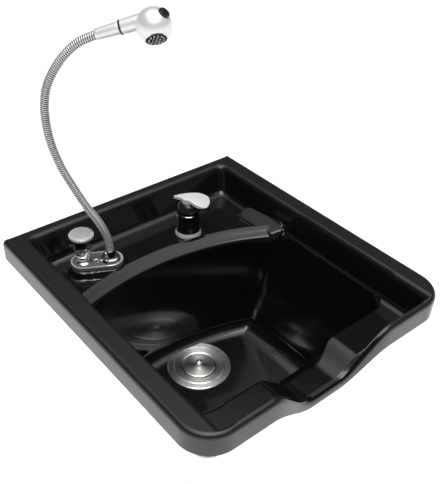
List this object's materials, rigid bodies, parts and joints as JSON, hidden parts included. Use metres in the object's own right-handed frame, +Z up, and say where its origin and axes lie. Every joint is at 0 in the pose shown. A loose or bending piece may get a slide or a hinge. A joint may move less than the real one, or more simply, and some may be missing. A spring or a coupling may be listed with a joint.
{
  "type": "shampoo backwash bowl",
  "caption": "Wall-hung black salon shampoo bowl with a neck recess, single-lever faucet, vacuum breaker, metal spray hose with a ball-shaped head, and a basket strainer drain.",
  "frame": {"origin": "on the wall plane at the centre of the hanger's four wall bolts", "axes": "-Y points out from the wall to the client, +Z is up, +X is to the right of someone who faces the wall"},
  "size_m": [0.48, 0.525, 0.8298],
  "materials": {
    "black_abs": "glossy black ABS moulding",
    "chrome": "polished chrome plating",
    "dark_chrome": "dark polished chrome",
    "brushed_steel": "radially brushed stainless steel",
    "hose_steel": "wound stainless strip",
    "zinc_steel": "zinc-plated steel",
    "steel": "plain steel",
    "brass": "raw brass",
    "copper": "drawn copper tube",
    "black_rubber": "black rubber",
    "black_plastic": "black plastic",
    "white_plastic": "white acetal",
    "red_plastic": "red indicator",
    "blue_plastic": "blue indicator"
  },
  "bodies": {
    "base": {"bowl": "black_abs", "wall_bracket": "zinc_steel", "bracket_set_screws": "zinc_steel", "faucet_gasket": "black_rubber", "faucet_base_ring": "chrome", "faucet_body": "chrome", "faucet_cartridge": "white_plastic", "faucet_bonnet": "chrome", "faucet_washer": "black_rubber", "faucet_nut": "brass", "supply_inlets": "copper", "transfer_pipe": "copper", "vb_gasket": "black_rubber", "vb_base_plate": "chrome", "vb_body": "chrome", "vb_seat_seal": "black_rubber", "vb_bonnet": "dark_chrome", "vb_cap": "chrome", "vb_nuts": "brass", "plate_screw": "chrome", "hose_collar": "chrome", "hose_outlet": "chrome", "bridge_pipe": "copper", "drain_flange": "brushed_steel", "drain_gasket": "black_rubber", "drain_lock_nut": "black_plastic", "drain_tailpiece": "chrome", "drain_slip_nut": "chrome"},
    "spindle": {"cartridge_yoke": "brass", "cartridge_pin": "steel"},
    "lever": {"lever": "chrome", "lever_stem": "steel", "indicator_hot": "red_plastic", "indicator_cold": "blue_plastic", "lever_grub_screw": "steel"},
    "hose_arm": {"hose_socket": "chrome", "hose": "hose_steel", "hose_ferrule": "chrome"},
    "spray_head": {"spray_handle": "chrome", "spray_shell": "chrome", "spray_seam_ring": "chrome", "spray_bezel": "chrome", "spray_nozzle_plate": "black_plastic", "spray_jets": "white_plastic", "spray_valve": "white_plastic", "spray_spring": "steel"},
    "button": {"spray_button": "black_plastic", "spray_plunger": "steel"},
    "float": {"vb_float": "white_plastic"},
    "strainer": {"basket": "brushed_steel"},
    "plug": {"basket_post": "brushed_steel", "basket_seal": "black_rubber"}
  },
  "joints": [
    {"name": "lever_swivel", "type": "hinge", "parent": "base", "child": "spindle", "pos_m": [0.057, -0.108, 0.074], "axis": [0, 0, 1], "range_deg": [-96, 4]},
    {"name": "lever_lift", "type": "hinge", "parent": "spindle", "child": "lever", "pos_m": [0.057, -0.108, 0.074], "axis": [-0.6947, -0.7193, 0], "range_deg": [0, 15]},
    {"name": "hose_swivel", "type": "hinge", "parent": "base", "child": "hose_arm", "pos_m": [-0.10603, -0.10919, 0.05], "axis": [0, 0, 1], "range_deg": [-100, 90]},
    {"name": "head_swivel", "type": "hinge", "parent": "hose_arm", "child": "spray_head", "pos_m": [-0.07544, -0.13532, 0.43283], "axis": [0.7232, -0.6177, 0.309], "range_deg": [-60, 60]},
    {"name": "button_press", "type": "slide", "parent": "spray_head", "child": "button", "axis": [-0.3166, 0.5281, -0.788], "range_m": [0, 0.003], "stiffness_N_per_m": 600, "springref_m": -0.003, "deforming": ["spray_spring"]},
    {"name": "float_lift", "type": "slide", "parent": "base", "child": "float", "axis": [0, 0, 1], "range_m": [0, 0.003]},
    {"name": "strainer_lift", "type": "slide", "parent": "base", "child": "strainer", "axis": [0, 0, 1], "range_m": [0, 0.08]},
    {"name": "plug_press", "type": "slide", "parent": "strainer", "child": "plug", "axis": [0, 0, -1], "range_m": [0, 0.009]}
  ]
}
